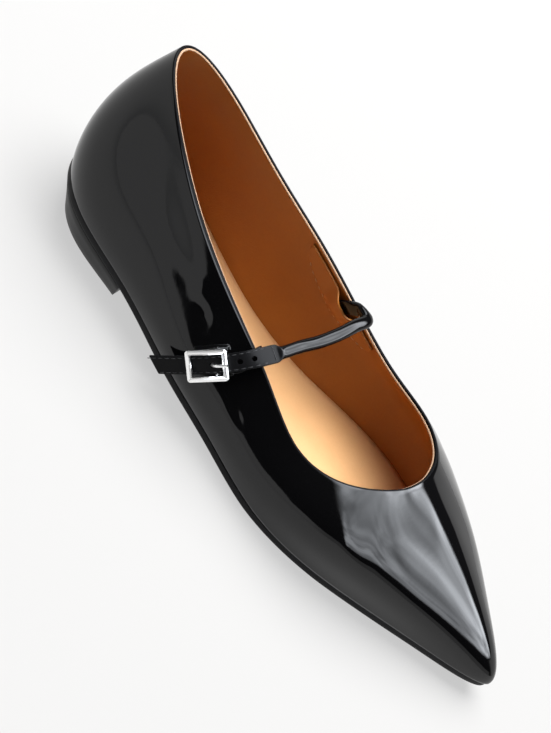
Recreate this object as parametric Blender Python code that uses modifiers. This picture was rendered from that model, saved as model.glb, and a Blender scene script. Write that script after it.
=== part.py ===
# Pointed toe flat with an instep strap, right foot, in metres.
# Toe towards -Y, medial side towards +X, floor at z = 0.
import math

import bmesh
import bpy
import numpy as np
from mathutils import Vector

LENGTH = 0.266
BALL_WIDTH = 0.080
BACK_HEIGHT = 0.0775
SEAT_HEIGHT = 0.0172
SOLE_THICK = 0.0032
WALL = 0.0018
INSOLE_THICK = 0.0020
GAP = 0.0003
HEEL_LENGTH = 0.0596
STRAP_WIDTH = 0.0070
STRAP_THICK = 0.0015
ROLL_THICK = 0.0042
HOLE_STEP = 0.0052
HOLE_RADIUS = 0.0010
BUCKLE_LENGTH = 0.0160
BUCKLE_WIDTH = 0.0120
BUCKLE_BAR = 0.0020
BUCKLE_THICK = 0.0016
TAB_THICK = 0.0009
PATCH_THICK = 0.0010
REST_SHARE = 0.13

# Sections of the last from the toe tip to the heel.
# Along and reach are shares of LENGTH, outs and swell of BALL_WIDTH, heights and fall of
# BACK_HEIGHT, rise is a share of the wall's own height.
STATIONS = [
    # name, foot_along, foot_med, foot_lat, top_along, top_med, top_lat, med_high, lat_high,
    # swell, rise, reach, fall
    ("tip", 1.016, 0.0, 0.0, 0.701, 0.0, 0.0, 0.596, 0.596, -0.006, 0.40, 0.128, 0.116),
    ("toe_side", 0.968, 0.105, 0.107, 0.697, 0.094, 0.092, 0.592, 0.585, -0.004, 0.40, 0.109, 0.116),
    ("toe_mid", 0.895, 0.212, 0.194, 0.690, 0.171, 0.170, 0.589, 0.578, 0.0, 0.45, 0.094, 0.116),
    ("toe_rear", 0.795, 0.375, 0.325, 0.668, 0.284, 0.280, 0.568, 0.547, 0.019, 0.45, 0.073, 0.129),
    ("fore_ball", 0.688, 0.509, 0.475, 0.625, 0.392, 0.387, 0.520, 0.462, 0.025, 0.45, 0.053, 0.155),
    ("ball", 0.579, 0.468, 0.541, 0.552, 0.412, 0.417, 0.491, 0.384, 0.030, 0.45, 0.034, 0.155),
    ("fore_waist", 0.466, 0.313, 0.470, 0.455, 0.340, 0.362, 0.617, 0.497, 0.068, 0.43, 0.030, 0.180),
    ("waist", 0.353, 0.256, 0.470, 0.350, 0.291, 0.322, 0.734, 0.560, 0.090, 0.40, 0.026, 0.194),
    ("rear_waist", 0.233, 0.304, 0.396, 0.233, 0.268, 0.295, 0.788, 0.677, 0.052, 0.38, 0.023, 0.219),
    ("heel_side", 0.113, 0.411, 0.420, 0.119, 0.240, 0.252, 0.894, 0.862, 0.077, 0.35, 0.023, 0.258),
    ("heel_corner", 0.038, 0.280, 0.280, 0.036, 0.144, 0.146, 0.983, 0.979, 0.136, 0.35, 0.023, 0.284),
    ("heel", 0.015, 0.0, 0.0, 0.011, 0.0, 0.0, 1.007, 1.007, 0.140, 0.40, 0.023, 0.310),
]

# Height of the sole's top along the foot, in shares of LENGTH and SEAT_HEIGHT.
SOLE_LINE = [
    ("heel_back", 0.0, 1.0),
    ("heel", 0.08, 0.94),
    ("heel_front", 0.17, 0.83),
    ("arch_rear", 0.27, 0.66),
    ("arch", 0.36, 0.475),
    ("arch_front", 0.46, 0.308),
    ("ball", 0.56, 0.196),
    ("tread", 0.72, 0.190),
    ("toe_rear", 0.82, 0.262),
    ("toe", 0.91, 0.395),
    ("tip", 1.0, 0.535),
]

# Centre of the strap from its sewn end to its cut end, in shares of LENGTH, BALL_WIDTH and
# BACK_HEIGHT, then its half width and half thickness in shares of the flat strap and the roll.
STRAP_PATH = [
    # name, along, out, high, half_width, roll
    ("sewn", 0.429, 0.335, 0.505, 0.43, 0.0),
    ("lining_edge", 0.442, 0.292, 0.610, 0.43, 0.12),
    ("rise", 0.457, 0.283, 0.668, 0.43, 0.75),
    ("bend", 0.472, 0.245, 0.690, 0.43, 1.0),
    ("over_1", 0.468, 0.155, 0.684, 0.43, 1.0),
    ("over_2", 0.463, 0.045, 0.664, 0.43, 1.0),
    ("over_3", 0.455, -0.065, 0.639, 0.42, 1.0),
    ("over_4", 0.444, -0.175, 0.619, 0.41, 1.0),
    ("joint", 0.436, -0.265, 0.594, 0.40, 0.95),
    ("flat", 0.430, -0.315, 0.585, 0.50, 0.0),
    ("edge", 0.419, -0.400, 0.548, 0.50, 0.0),
    ("wall", 0.404, -0.460, 0.470, 0.50, 0.0),
    ("buckle", 0.387, -0.500, 0.383, 0.50, 0.0),
    ("tail_mid", 0.363, -0.535, 0.267, 0.50, 0.0),
    ("tail", 0.338, -0.560, 0.146, 0.50, 0.0),
]
BUCKLE_AT = 12
STEPS = 4
ROUND = 112
ROWS = 11


def place(out, along, high):
    """A point of the shoe from its three own directions."""
    return np.array([out, REST_SHARE * LENGTH - along, high])


def sole_top(along):
    """Height of the sole's top at a distance from the heel."""
    share = along / LENGTH
    at = [row[1] for row in SOLE_LINE]
    high = [row[2] for row in SOLE_LINE]
    slope = np.gradient(high, at)
    share = min(max(share, 0.0), 1.0)
    k = min(max(int(np.searchsorted(at, share)) - 1, 0), len(at) - 2)
    step = at[k + 1] - at[k]
    t = (share - at[k]) / step
    a = (1 + 2 * t) * (1 - t) ** 2 * high[k] + t * t * (3 - 2 * t) * high[k + 1]
    b = t * (1 - t) ** 2 * step * slope[k] - t * t * (1 - t) * step * slope[k + 1]
    return SEAT_HEIGHT * (a + b)


def sole_under(along):
    """Height of the sole's underside, flat on the floor under the ball."""
    return max(sole_top(along) - SOLE_THICK - 0.1 * GAP, 0.0)


def outwards(ring):
    """Plan directions square to a closed ring, away from the foot."""
    run = np.roll(ring, -1, 0) - np.roll(ring, 1, 0)
    side = np.stack([run[:, 1], -run[:, 0], 0 * run[:, 0]], 1)
    return side / np.linalg.norm(side, axis=1)[:, None]


def nets():
    """Four closed rings of control points: foot line, swell, shoulder and topline."""
    medial = [(row, 1) for row in STATIONS]
    lateral = [(row, -1) for row in STATIONS[-2:0:-1]]
    foot = []
    top = []
    for row, side in medial + lateral:
        out = row[2] if side > 0 else -row[3]
        high = row[7] if side > 0 else row[8]
        along = row[1] * LENGTH
        foot.append(place(out * BALL_WIDTH, along, sole_top(along) + 2.5 * GAP))
        out = row[5] if side > 0 else -row[6]
        top.append(place(out * BALL_WIDTH, row[4] * LENGTH, high * BACK_HEIGHT))
    foot = np.array(foot)
    top = np.array(top)
    rows = [row for row, side in medial + lateral]
    swell = np.array([row[9] for row in rows])[:, None] * BALL_WIDTH
    rise = np.array([row[10] for row in rows]) * (top[:, 2] - foot[:, 2])
    reach = np.array([row[11] for row in rows])[:, None] * LENGTH
    fall = np.array([row[12] for row in rows]) * BACK_HEIGHT
    up = np.array([[0.0, 0.0, 1.0]])
    low = foot + outwards(foot) * swell + up * rise[:, None]
    shoulder = top + outwards(top) * reach - up * fall[:, None]
    return [foot, low, shoulder, top]


NETS = nets()


def ring_point(net, turn):
    """A point of the smooth closed ring that a net of control points carries."""
    count = len(net)
    at = (turn % 1.0) * count
    k = int(at)
    t = at - k
    p = [net[(k + j) % count] for j in (-1, 0, 1, 2)]
    a = (1 - t) ** 3 * p[0] + (3 * t**3 - 6 * t * t + 4) * p[1]
    b = (-3 * t**3 + 3 * t * t + 3 * t + 1) * p[2] + t**3 * p[3]
    return (a + b) / 6


def skin(turn, climb):
    """Outer skin of the upper: turn runs toe, medial side, heel, lateral side; climb foot to top."""
    p = [ring_point(net, turn) for net in NETS]
    c = climb
    return (1 - c) ** 3 * p[0] + 3 * (1 - c) ** 2 * c * p[1] + 3 * (1 - c) * c * c * p[2] + c**3 * p[3]


def skin_out(turn, climb):
    """Direction square to the outer skin, away from the foot."""
    run = skin(turn + 0.002, climb) - skin(turn - 0.002, climb)
    low = max(climb - 0.01, 0.0)
    lift = skin(turn, min(low + 0.02, 1.0)) - skin(turn, low)
    side = np.cross(run, lift)
    return side / np.linalg.norm(side)


def material(name, colour, rough, metal):
    """A plain surface for one sub-part."""
    made = bpy.data.materials.new(name)
    made.use_nodes = True
    shader = made.node_tree.nodes["Principled BSDF"]
    shader.inputs["Base Color"].default_value = colour + (1.0,)
    shader.inputs["Roughness"].default_value = rough
    shader.inputs["Metallic"].default_value = metal
    return made


def piece(name, verts, faces, surface, home):
    """One object from its points and faces, with shared points merged and faces outwards."""
    mesh = bpy.data.meshes.new(name)
    mesh.from_pydata([tuple(v) for v in verts], [], faces)
    work = bmesh.new()
    work.from_mesh(mesh)
    bmesh.ops.remove_doubles(work, verts=work.verts, dist=1e-6)
    bmesh.ops.recalc_face_normals(work, faces=work.faces)
    for face in work.faces:
        face.smooth = True
    work.to_mesh(mesh)
    work.free()
    mesh.materials.append(surface)
    made = bpy.data.objects.new(name, mesh)
    home.objects.link(made)
    return made


def thicken(made, thick):
    """Give an open skin its thickness, away from its faces' outer side."""
    solid = made.modifiers.new("thickness", "SOLIDIFY")
    solid.thickness = thick
    solid.offset = -1.0
    solid.use_even_offset = True


def cut(made, cutter, how):
    """Join or subtract a helper body."""
    step = made.modifiers.new(how.lower(), "BOOLEAN")
    step.object = cutter
    step.operation = how
    step.solver = "EXACT"


def foot_ring(climb, inset):
    """Ring of plan points of the outer skin at a climb, moved in by an inset."""
    ring = np.array([skin(k / ROUND, climb) for k in range(ROUND)])
    return ring - outwards(ring) * inset


def rungs(ring, longest):
    """Pairs of medial and lateral points from the heel forwards to a distance from the heel."""
    pairs = []
    half = ROUND // 2
    start = REST_SHARE * LENGTH
    for k in range(half, -1, -1):
        med = ring[k]
        lat = ring[(ROUND - k) % ROUND]
        if start - min(med[1], lat[1]) > longest:
            before = pairs[-1]
            ends = []
            for now, past in ((med, before[0]), (lat, before[1])):
                t = (start - longest - past[1]) / (now[1] - past[1])
                ends.append(past + (now - past) * t)
            pairs.append(tuple(ends))
            break
        pairs.append((med, lat))
    return pairs


def slab(name, upper, lower, top, under, surface, home, across=6):
    """A plate between two sets of rungs whose faces follow two heights along the foot."""
    verts = []
    for pairs, height in ((upper, top), (lower, under)):
        for med, lat in pairs:
            for j in range(across + 1):
                spot = med + (lat - med) * j / across
                verts.append((spot[0], spot[1], height(REST_SHARE * LENGTH - spot[1])))
    wide = across + 1
    layer = len(upper) * wide
    faces = []
    for k in range(len(upper) - 1):
        for j in range(across):
            a = k * wide + j
            faces.append((a, a + 1, a + wide + 1, a + wide))
            faces.append((a + layer, a + layer + wide, a + layer + wide + 1, a + layer + 1))
        for j in (0, across):
            a = k * wide + j
            faces.append((a, a + wide, a + wide + layer, a + layer))
    last = (len(upper) - 1) * wide
    for j in range(across):
        faces.append((last + j, last + j + 1, last + j + 1 + layer, last + j + layer))
    return piece(name, verts, faces, surface, home)


def smooth_path(points):
    """A curve through a few points, with a set number of steps between each two."""
    points = np.array(points, float)
    slope = np.gradient(points, axis=0)
    made = []
    for k in range(len(points) - 1):
        for j in range(STEPS):
            t = j / STEPS
            a = (1 + 2 * t) * (1 - t) ** 2 * points[k] + t * t * (3 - 2 * t) * points[k + 1]
            b = t * (1 - t) ** 2 * slope[k] - t * t * (1 - t) * slope[k + 1]
            made.append(a + b)
    made.append(points[-1])
    return np.array(made)


def frames(path, across=(0.0, -1.0, 0.0)):
    """Run, width and outward directions at each point of a path across the foot."""
    across = np.array(across)
    run = np.gradient(path, axis=0)
    run = run / np.linalg.norm(run, axis=1)[:, None]
    wide = across - run * (run @ across)[:, None]
    wide = wide / np.linalg.norm(wide, axis=1)[:, None]
    return run, wide, np.cross(run, wide)


def band(name, path, axes, half_width, half_thick, square, surface, home, slant=0.0, sides=16):
    """A strip along a path, its section from a round roll to a flat strap."""
    run, wide, out = axes
    verts = []
    for k in range(len(path)):
        ends = max(0.0, (k - len(path) + 4) / 3)
        for j in range(sides):
            turn = 2 * math.pi * (j + 0.5) / sides
            x = math.copysign(abs(math.cos(turn)) ** square[k], math.cos(turn))
            y = math.copysign(abs(math.sin(turn)) ** square[k], math.sin(turn))
            spot = path[k] + wide[k] * x * half_width[k] + out[k] * y * half_thick[k]
            verts.append(spot - run[k] * ends * slant * (x + 1) / 2)
    faces = []
    for k in range(len(path) - 1):
        for j in range(sides):
            a = k * sides + j
            b = k * sides + (j + 1) % sides
            faces.append((a, b, b + sides, a + sides))
    faces.append(tuple(range(sides)))
    faces.append(tuple(range(len(verts) - sides, len(verts))))
    return piece(name, verts, faces, surface, home)


def block(name, centre, axes, sizes, home, surface):
    """A plain box on three directions."""
    verts = []
    for k in range(8):
        signs = (1 if k & 1 else -1, 1 if k & 2 else -1, 1 if k & 4 else -1)
        verts.append(centre + sum(s * a * w / 2 for s, a, w in zip(signs, axes, sizes)))
    faces = [(0, 2, 3, 1), (4, 5, 7, 6), (0, 1, 5, 4), (2, 6, 7, 3), (0, 4, 6, 2), (1, 3, 7, 5)]
    made = piece(name, verts, faces, surface, home)
    for face in made.data.polygons:
        face.use_smooth = False
    return made


def helper(made):
    """Mark a body as a cutter only."""
    made.hide_render = True
    made.display_type = "WIRE"
    return made


def build():
    for old in list(bpy.data.objects):
        bpy.data.objects.remove(old)
    shoe = bpy.data.collections.new("pointed_toe_flat_shoe")
    helpers = bpy.data.collections.new("cutters")
    bpy.context.scene.collection.children.link(shoe)
    bpy.context.scene.collection.children.link(helpers)

    patent = material("upper_patent", (0.012, 0.012, 0.014), 0.08, 0.0)
    rand = material("outsole_black", (0.015, 0.015, 0.015), 0.45, 0.0)
    stack = material("heel_black", (0.03, 0.03, 0.032), 0.4, 0.0)
    sock = material("insole_tan", (0.55, 0.30, 0.13), 0.55, 0.0)
    patch_tan = material("patch_tan", (0.45, 0.22, 0.09), 0.55, 0.0)
    strap_black = material("strap_patent", (0.012, 0.012, 0.014), 0.1, 0.0)
    tab_black = material("tab_patent", (0.012, 0.012, 0.014), 0.15, 0.0)
    silver = material("buckle_silver", (0.85, 0.85, 0.84), 0.12, 1.0)
    prong_silver = material("prong_silver", (0.85, 0.85, 0.84), 0.15, 1.0)

    # Upper
    verts = []
    for j in range(ROWS + 1):
        climb = j / ROWS
        for k in range(ROUND):
            verts.append(skin(k / ROUND, climb))
    faces = []
    for j in range(ROWS):
        for k in range(ROUND):
            a = j * ROUND + k
            b = j * ROUND + (k + 1) % ROUND
            faces.append((a, b, b + ROUND, a + ROUND))
    upper = piece("upper", verts, faces, patent, shoe)
    thicken(upper, WALL)

    # Sole, heel and insole
    plan = rungs(foot_ring(0.0, GAP + 0.12 * SOLE_THICK), 2 * LENGTH)
    slab("outsole", plan, plan, sole_top, sole_under, rand, shoe)

    heel_top = rungs(foot_ring(0.0, 4 * GAP), HEEL_LENGTH)
    breast = REST_SHARE * LENGTH - HEEL_LENGTH
    heel_low = []
    for pair in heel_top:
        low = []
        for spot in pair:
            low.append(np.array([spot[0] * 0.88 + 0.01 * BALL_WIDTH, breast + (spot[1] - breast) * 0.85, 0.0]))
        heel_low.append(tuple(low))
    slab("heel_block", heel_top, heel_low, lambda a: sole_under(a) - GAP, lambda a: 0.0, stack, shoe)

    low_plan = rungs(foot_ring(0.0, WALL + 2 * GAP), 2 * LENGTH)
    top_plan = rungs(foot_ring(0.03, WALL + 2 * GAP), 2 * LENGTH)
    slab(
        "insole",
        top_plan,
        low_plan,
        lambda a: sole_top(a) + GAP + INSOLE_THICK,
        lambda a: sole_top(a) + GAP,
        sock,
        shoe,
    )

    # Strap
    spots = []
    for row in STRAP_PATH:
        spots.append(place(row[2] * BALL_WIDTH, row[1] * LENGTH, row[3] * BACK_HEIGHT))
    path = smooth_path(spots)
    shares = smooth_path([(row[4], row[5], 0.0) for row in STRAP_PATH])
    roll = np.clip(shares[:, 1], 0.0, 1.0)
    half_width = np.clip(shares[:, 0], 0.4, 0.5) * STRAP_WIDTH
    half_thick = (STRAP_THICK + (ROLL_THICK - STRAP_THICK) * roll) / 2
    square = 0.35 + 0.65 * roll
    strap = band("strap", path, frames(path), half_width, half_thick, square, strap_black, shoe, 0.45 * STRAP_WIDTH)

    run, wide, out = frames(path)
    at = BUCKLE_AT * STEPS
    centre, run_b, wide_b, out_b = path[at], run[at], wide[at], out[at]
    steps = np.linalg.norm(np.diff(path, axis=0), axis=1)
    reached = np.concatenate([[0.0], np.cumsum(steps)])
    for k in range(4):
        want = reached[at] - 0.1 * BUCKLE_LENGTH - k * HOLE_STEP
        spot = np.array([np.interp(want, reached, path[:, j]) for j in range(3)])
        aim = np.array([np.interp(want, reached, out[:, j]) for j in range(3)])
        bpy.ops.mesh.primitive_cylinder_add(
            vertices=12, radius=HOLE_RADIUS, depth=4 * STRAP_THICK, location=tuple(spot)
        )
        punch = helper(bpy.context.object)
        punch.name = "punch_%d" % (k + 1)
        punch.rotation_euler = Vector(tuple(aim)).to_track_quat("Z", "Y").to_euler()
        for home in list(punch.users_collection):
            home.objects.unlink(punch)
        helpers.objects.link(punch)
        cut(strap, punch, "DIFFERENCE")

    # Buckle frame on the strap, with the low bar that the tab holds
    axes = (run_b, wide_b, out_b)
    face_at = STRAP_THICK / 2 + GAP
    ring_at = centre + out_b * (face_at + BUCKLE_THICK / 2)
    verts = []
    for high in (-0.5, 0.5):
        for scale in (0.0, 1.0):
            for a, b in ((-1, -1), (1, -1), (1, 1), (-1, 1)):
                x = a * (BUCKLE_LENGTH / 2 - scale * BUCKLE_BAR)
                y = b * (BUCKLE_WIDTH / 2 - scale * BUCKLE_BAR)
                verts.append(ring_at + run_b * x + wide_b * y + out_b * high * BUCKLE_THICK)
    faces = []
    for k in range(4):
        n = (k + 1) % 4
        faces.append((k, n, n + 4, k + 4))
        faces.append((k + 8, k + 12, n + 12, n + 8))
        faces.append((k, k + 8, n + 8, n))
        faces.append((k + 4, n + 4, n + 12, k + 12))
    ring = piece("buckle_frame", verts, faces, silver, shoe)
    for face in ring.data.polygons:
        face.use_smooth = False
    bar_thick = 0.4 * BUCKLE_BAR
    turn_radius = 0.55 * bar_thick + 1.4 * GAP + TAB_THICK / 2
    bar_high = STRAP_THICK / 2 + GAP + TAB_THICK / 2 + turn_radius
    bar_at = centre - run_b * 0.12 * BUCKLE_LENGTH - out_b * bar_high
    post = 0.8 * BUCKLE_BAR
    bar = block("low_bar", bar_at, axes, (bar_thick, BUCKLE_WIDTH - 0.4 * BUCKLE_BAR, bar_thick), helpers, silver)
    cut(ring, helper(bar), "UNION")
    for side in (-1, 1):
        tall = bar_high + bar_thick / 2 + face_at + BUCKLE_THICK / 2
        spot = centre - run_b * 0.12 * BUCKLE_LENGTH + wide_b * side * (BUCKLE_WIDTH / 2 - BUCKLE_BAR / 2)
        spot = spot + out_b * (tall / 2 - bar_high - bar_thick / 2)
        post_block = block("post_%d" % side, spot, axes, (bar_thick * 1.2, post, tall), helpers, silver)
        cut(ring, helper(post_block), "UNION")

    # Prong through the strap's hole and over the frame
    lift = face_at + BUCKLE_THICK + GAP + 0.3 * BUCKLE_BAR
    track = [(-0.10, -0.5 * STRAP_THICK), (-0.10, 0.4 * STRAP_THICK), (-0.14, 0.45 * lift)]
    track = track + [(-0.23, 0.85 * lift), (-0.33, lift), (-0.52, lift)]
    curve = bpy.data.curves.new("buckle_prong", "CURVE")
    curve.dimensions = "3D"
    curve.bevel_depth = 0.275 * BUCKLE_BAR
    curve.bevel_resolution = 2
    curve.use_fill_caps = True
    line = curve.splines.new("POLY")
    points = smooth_path([centre + run_b * a * BUCKLE_LENGTH + out_b * b for a, b in track])
    line.points.add(len(points) - 1)
    for spot, point in zip(line.points, points):
        spot.co = tuple(point) + (1.0,)
    curve.materials.append(prong_silver)
    shoe.objects.link(bpy.data.objects.new("buckle_prong", curve))

    # Tab from inside the topline, down the wall and round the low bar
    turn = 0.7075
    off = GAP + TAB_THICK / 2
    points = []
    for climb in (0.86, 0.93, 0.985):
        points.append(skin(turn, climb) - skin_out(turn, climb) * (WALL + 1.5 * off))
    rim = skin(turn, 1.0) - skin_out(turn, 1.0) * WALL / 2
    rim_out = skin_out(turn, 1.0)
    rim_up = np.cross(rim_out, np.cross(np.array([0.0, 0.0, 1.0]), rim_out))
    rim_up = rim_up / np.linalg.norm(rim_up)
    for part in (-60, -20, 20, 60):
        a = math.radians(part)
        points.append(rim + (rim_out * math.sin(a) + rim_up * math.cos(a)) * (WALL / 2 + 1.3 * off))
    for climb, shift in ((0.955, 0.0), (0.88, -0.0015), (0.80, -0.0030)):
        points.append(skin(turn + shift, climb) + skin_out(turn + shift, climb) * 1.5 * off)
    for part in (-140, -100, -60, -20, 20, 60, 90):
        a = math.radians(part)
        points.append(bar_at + (run_b * math.cos(a) + out_b * math.sin(a)) * turn_radius)
    points.append(points[-1] - run_b * 0.10 * BUCKLE_LENGTH - out_b * 0.5 * GAP)
    tab_path = np.array(points)
    flat = np.full(len(tab_path), 0.45 * STRAP_WIDTH)
    thin = np.full(len(tab_path), TAB_THICK / 2)
    square = np.full(len(tab_path), 0.35)
    band("buckle_tab", tab_path, frames(tab_path, wide_b), flat, thin, square, tab_black, shoe, 0.0, 12)

    # Lining patch over the strap's sewn end
    verts = []
    across = 12
    down = 5
    for k in range(across + 1):
        t = 2 * k / across - 1
        turn = 0.2835 + 0.038 * t
        depth = 0.03 + 0.27 * math.sqrt(max(1 - t * t, 0.0))
        for j in range(down + 1):
            climb = 0.965 - depth * j / down
            pocket = math.exp(-((t / 0.45) ** 4)) * (1 - (j / down) ** 4)
            inset = WALL + 2 * GAP + pocket * (STRAP_THICK + 2 * GAP + 0.36 * ROLL_THICK)
            verts.append(skin(turn, climb) - skin_out(turn, climb) * inset)
    faces = []
    for k in range(across):
        for j in range(down):
            a = k * (down + 1) + j
            faces.append((a, a + 1, a + down + 2, a + down + 1))
    patch = piece("strap_patch", verts, faces, patch_tan, shoe)
    middle = patch.data.polygons[len(faces) // 2]
    if middle.normal.x < 0:
        patch.data.flip_normals()
    thicken(patch, PATCH_THICK)


build()
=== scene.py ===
# Dresses the pointed toe flat with an instep strap: patent upper, tan lining, silver buckle.
import math

import bmesh
import bpy
import numpy as np
from mathutils import Matrix, Vector


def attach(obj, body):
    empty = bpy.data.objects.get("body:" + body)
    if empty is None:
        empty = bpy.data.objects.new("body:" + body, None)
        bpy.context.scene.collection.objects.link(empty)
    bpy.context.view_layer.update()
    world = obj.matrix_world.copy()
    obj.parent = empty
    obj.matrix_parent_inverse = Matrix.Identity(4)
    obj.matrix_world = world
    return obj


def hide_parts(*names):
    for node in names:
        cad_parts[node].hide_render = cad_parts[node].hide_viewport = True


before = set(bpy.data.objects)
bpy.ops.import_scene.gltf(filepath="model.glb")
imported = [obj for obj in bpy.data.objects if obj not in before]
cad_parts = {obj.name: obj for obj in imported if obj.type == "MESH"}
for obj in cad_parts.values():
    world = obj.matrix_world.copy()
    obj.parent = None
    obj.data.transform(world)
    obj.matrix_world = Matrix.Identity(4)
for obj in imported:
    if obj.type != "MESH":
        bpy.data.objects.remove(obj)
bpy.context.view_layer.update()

# Sizes, as in the part's source, in metres
LENGTH = 0.266
BALL_WIDTH = 0.080
BACK_HEIGHT = 0.0775
SEAT_HEIGHT = 0.0172
SOLE_THICK = 0.0032
WALL = 0.0018
GAP = 0.0003
HEEL_LENGTH = 0.0596
STRAP_WIDTH = 0.0070
STRAP_THICK = 0.0015
ROLL_THICK = 0.0042
HOLE_STEP = 0.0052
HOLE_RADIUS = 0.0010
BUCKLE_LENGTH = 0.0160
BUCKLE_WIDTH = 0.0120
BUCKLE_BAR = 0.0020
BUCKLE_THICK = 0.0016
INSOLE_THICK = 0.0020
TAB_THICK = 0.0009
REST_SHARE = 0.13
EDGE_RADIUS = 0.0007
LINING_THICK = 0.0007

# name, foot_along, foot_med, foot_lat, top_along, top_med, top_lat, med_high, lat_high,
# swell, rise, reach, fall
STATIONS = [
    ("tip", 1.016, 0.0, 0.0, 0.701, 0.0, 0.0, 0.596, 0.596, -0.010, 0.33, 0.140, 0.122),
    ("toe_side", 0.968, 0.105, 0.107, 0.697, 0.094, 0.092, 0.592, 0.585, -0.004, 0.33, 0.130, 0.150),
    ("toe_mid", 0.895, 0.212, 0.194, 0.690, 0.171, 0.170, 0.589, 0.578, 0.022, 0.35, 0.122, 0.195),
    ("toe_rear", 0.795, 0.375, 0.325, 0.668, 0.284, 0.280, 0.568, 0.547, 0.030, 0.41, 0.108, 0.205),
    ("fore_ball", 0.688, 0.509, 0.475, 0.625, 0.392, 0.387, 0.520, 0.462, 0.030, 0.43, 0.078, 0.185),
    ("ball", 0.579, 0.468, 0.541, 0.552, 0.412, 0.417, 0.491, 0.384, 0.025, 0.43, 0.040, 0.170),
    ("fore_waist", 0.466, 0.313, 0.470, 0.455, 0.340, 0.362, 0.617, 0.497, 0.068, 0.43, 0.030, 0.180),
    ("waist", 0.353, 0.256, 0.470, 0.350, 0.291, 0.322, 0.734, 0.560, 0.090, 0.40, 0.026, 0.194),
    ("rear_waist", 0.233, 0.304, 0.396, 0.233, 0.268, 0.295, 0.788, 0.677, 0.052, 0.38, 0.023, 0.219),
    ("heel_side", 0.113, 0.411, 0.420, 0.119, 0.240, 0.252, 0.894, 0.862, 0.077, 0.35, 0.023, 0.258),
    ("heel_corner", 0.038, 0.280, 0.280, 0.036, 0.144, 0.146, 0.983, 0.979, 0.136, 0.35, 0.023, 0.284),
    ("heel", 0.015, 0.0, 0.0, 0.011, 0.0, 0.0, 1.007, 1.007, 0.140, 0.40, 0.023, 0.310),
]
SOLE_LINE = [
    ("heel_back", 0.0, 1.0),
    ("heel", 0.08, 0.94),
    ("heel_front", 0.17, 0.83),
    ("arch_rear", 0.27, 0.66),
    ("arch", 0.36, 0.475),
    ("arch_front", 0.46, 0.308),
    ("ball", 0.56, 0.196),
    ("tread", 0.72, 0.190),
    ("toe_rear", 0.82, 0.262),
    ("toe", 0.91, 0.395),
    ("tip", 1.0, 0.535),
]
# name, along, out, high, half_width, roll
STRAP_PATH = [
    ("sewn", 0.429, 0.335, 0.505, 0.43, 0.0),
    ("lining_edge", 0.442, 0.292, 0.610, 0.43, 0.12),
    ("rise", 0.457, 0.283, 0.668, 0.43, 0.75),
    ("bend", 0.472, 0.245, 0.690, 0.43, 1.0),
    ("over_1", 0.468, 0.155, 0.684, 0.43, 1.0),
    ("over_2", 0.463, 0.045, 0.664, 0.43, 1.0),
    ("over_3", 0.455, -0.065, 0.639, 0.42, 1.0),
    ("over_4", 0.444, -0.175, 0.619, 0.41, 1.0),
    ("joint", 0.436, -0.265, 0.594, 0.40, 0.95),
    ("flat", 0.430, -0.315, 0.585, 0.50, 0.0),
    ("edge", 0.419, -0.400, 0.548, 0.50, 0.0),
    ("wall", 0.404, -0.460, 0.470, 0.50, 0.0),
    ("buckle", 0.387, -0.500, 0.383, 0.50, 0.0),
    ("tail_mid", 0.363, -0.535, 0.267, 0.50, 0.0),
    ("tail", 0.338, -0.560, 0.146, 0.50, 0.0),
]
STRAP_STEPS = 12
BUCKLE_AT = 12 * STRAP_STEPS
JOINT_AT = 8.45 * STRAP_STEPS
# The lining patch's middle and half spread, as shares of the turn round the foot
PATCH_AT = 0.2835
PATCH_SPREAD = 0.038

# Camera: the photo's own place around the shoe, with its roll
EYE = Vector((-0.5839, -0.0764, 0.5276))
AIM = Vector((-0.0056, -0.0839, 0.0250))
ROLL = math.radians(-53.26)
LENS = 99.5


# Shape of the last


def height_of_sole(along):
    """Height of the sole's top at distances from the heel."""
    share = np.clip(np.asarray(along, float) / LENGTH, 0.0, 1.0)
    at = np.array([row[1] for row in SOLE_LINE])
    high = np.array([row[2] for row in SOLE_LINE])
    slope = np.gradient(high, at)
    k = np.clip(np.searchsorted(at, share) - 1, 0, len(at) - 2)
    step = at[k + 1] - at[k]
    t = (share - at[k]) / step
    a = (1 + 2 * t) * (1 - t) ** 2 * high[k] + t * t * (3 - 2 * t) * high[k + 1]
    b = t * (1 - t) ** 2 * step * slope[k] - t * t * (1 - t) * step * slope[k + 1]
    return SEAT_HEIGHT * (a + b)


def underside(along):
    """Height of the sole's underside."""
    return np.maximum(height_of_sole(along) - SOLE_THICK - 0.1 * GAP, 0.0)


def along_of(y):
    """Distance from the heel of a place on the row's Y axis."""
    return REST_SHARE * LENGTH - y


def outwards(ring):
    """Plan directions square to a closed ring, away from the foot."""
    run = np.roll(ring, -1, 0) - np.roll(ring, 1, 0)
    side = np.stack([run[:, 1], -run[:, 0], 0 * run[:, 0]], 1)
    return side / np.linalg.norm(side, axis=1)[:, None]


def section_nets():
    """Control rings of the upper: foot line, swell, shoulder and topline."""
    order = [(row, 1) for row in STATIONS] + [(row, -1) for row in STATIONS[-2:0:-1]]
    foot = []
    top = []
    for row, side in order:
        out = row[2] if side > 0 else -row[3]
        along = row[1] * LENGTH
        base = float(height_of_sole(along)) + 2.5 * GAP
        foot.append((out * BALL_WIDTH, REST_SHARE * LENGTH - along, base))
        out = row[5] if side > 0 else -row[6]
        high = row[7] if side > 0 else row[8]
        top.append((out * BALL_WIDTH, (REST_SHARE - row[4]) * LENGTH, high * BACK_HEIGHT))
    foot = np.array(foot)
    top = np.array(top)
    swell, rise, reach, fall = np.array([row[9:13] for row, side in order]).T[:, :, None]
    up = np.array([[0.0, 0.0, 1.0]])
    low = foot + outwards(foot) * swell * BALL_WIDTH + up * rise * (top - foot)[:, 2:]
    shoulder = top + outwards(top) * reach * LENGTH - up * fall * BACK_HEIGHT
    return [foot, low, shoulder, top]


NETS = section_nets()


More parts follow.
